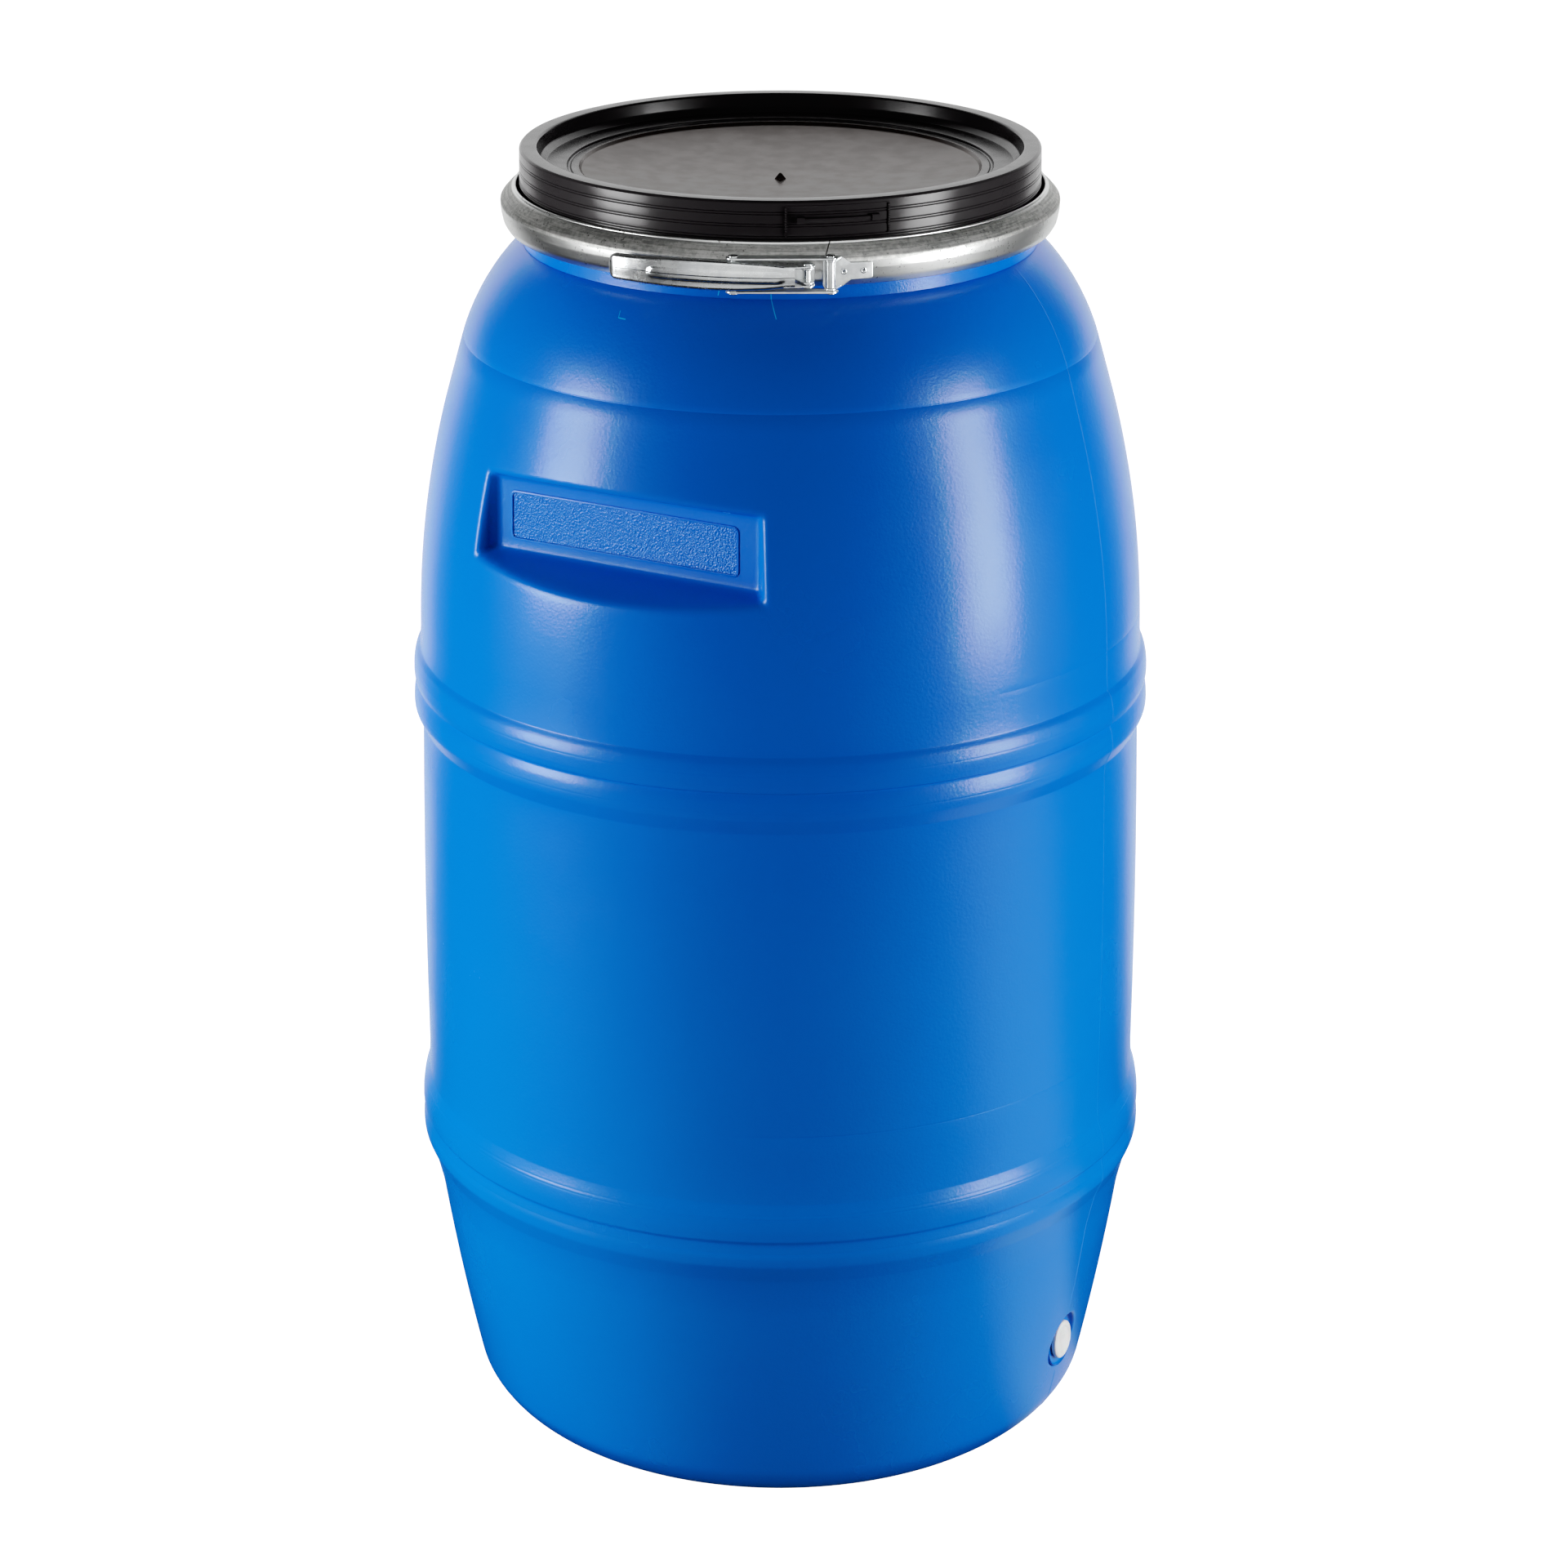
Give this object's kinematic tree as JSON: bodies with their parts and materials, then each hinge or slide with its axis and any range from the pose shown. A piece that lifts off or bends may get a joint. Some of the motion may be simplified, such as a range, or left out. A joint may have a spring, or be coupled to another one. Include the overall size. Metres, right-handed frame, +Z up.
{
  "type": "open-head drum",
  "caption": "Open-head blow-moulded plastic drum with rolling hoops, moulded hand grips, a pressed lid and a lever-lock closure ring.",
  "frame": {"origin": "centre of the foot, on the ground", "axes": "+Z up along the drum's axis, -Y out of the front hand grip, +X out of the drain plug"},
  "size_m": [0.5912, 0.591, 1.0128],
  "materials": {
    "drum_plastic": "satin, fine orange peel",
    "lid_plastic": "satin",
    "plug_plastic": "satin",
    "seal_rubber": "matte",
    "galvanised_strip": "galvanised, mottled",
    "lever_zinc": "bright zinc plate",
    "zinc_fittings": "bright zinc plate",
    "rivet_steel": "zinc plate"
  },
  "bodies": {
    "drum": {"drum_shell": "drum_plastic"},
    "plug": {"drain_plug": "plug_plastic", "drain_plug_washer": "seal_rubber"},
    "lid": {"lid": "lid_plastic", "lid_gasket": "seal_rubber"},
    "ring": {"closure_ring": "galvanised_strip"},
    "lever_end": {"lever_bracket": "zinc_fittings", "lever_bracket_rivets": "rivet_steel", "lever_pivot_pin": "rivet_steel"},
    "catch_end": {"catch_bracket": "zinc_fittings", "catch_bracket_rivets": "rivet_steel", "catch_pivot_pin": "rivet_steel"},
    "lever": {"lever": "lever_zinc", "link_pivot_pin": "rivet_steel"},
    "link": {"link_strap_upper": "zinc_fittings", "link_strap_lower": "zinc_fittings", "link_end_rivets": "rivet_steel"}
  },
  "joints": [
    {"name": "lid_lift", "type": "slide", "parent": "drum", "child": "lid", "axis": [0, 0, 1], "range_m": [0, 0.12]},
    {"name": "ring_lift", "type": "slide", "parent": "drum", "child": "ring", "axis": [0, 0, 1], "range_m": [0, 0.26]},
    {"name": "plug_pull", "type": "slide", "parent": "drum", "child": "plug", "axis": [1, 0, 0], "range_m": [0, 0.03]},
    {"name": "lever_end_spread", "type": "hinge", "parent": "ring", "child": "lever_end", "pos_m": [-0.13766, 0.17493, 0.9618], "axis": [0, 0, 1], "range_deg": [-6.6, 0], "deforming": ["closure_ring"]},
    {"name": "catch_end_spread", "type": "hinge", "parent": "ring", "child": "catch_end", "pos_m": [-0.13766, 0.17493, 0.9618], "axis": [0, 0, 1], "range_deg": [0, 6.6], "deforming": ["closure_ring"]},
    {"name": "lever_swing", "type": "hinge", "parent": "lever_end", "child": "lever", "pos_m": [0.13102, -0.19388, 0.9618], "axis": [0, 0, 1], "range_deg": [0, 175]},
    {"name": "link_swing", "type": "hinge", "parent": "lever", "child": "link", "pos_m": [0.08084, -0.21853, 0.9618], "axis": [0, 0, 1], "range_deg": [-143, 0]}
  ],
  "couplings": [
    {"joint": "lever_end_spread", "follows": "lever_swing", "ratio": -0.037383},
    {"joint": "catch_end_spread", "follows": "lever_swing", "ratio": 0.037383},
    {"joint": "link_swing", "follows": "lever_swing", "ratio": -0.81669}
  ]
}
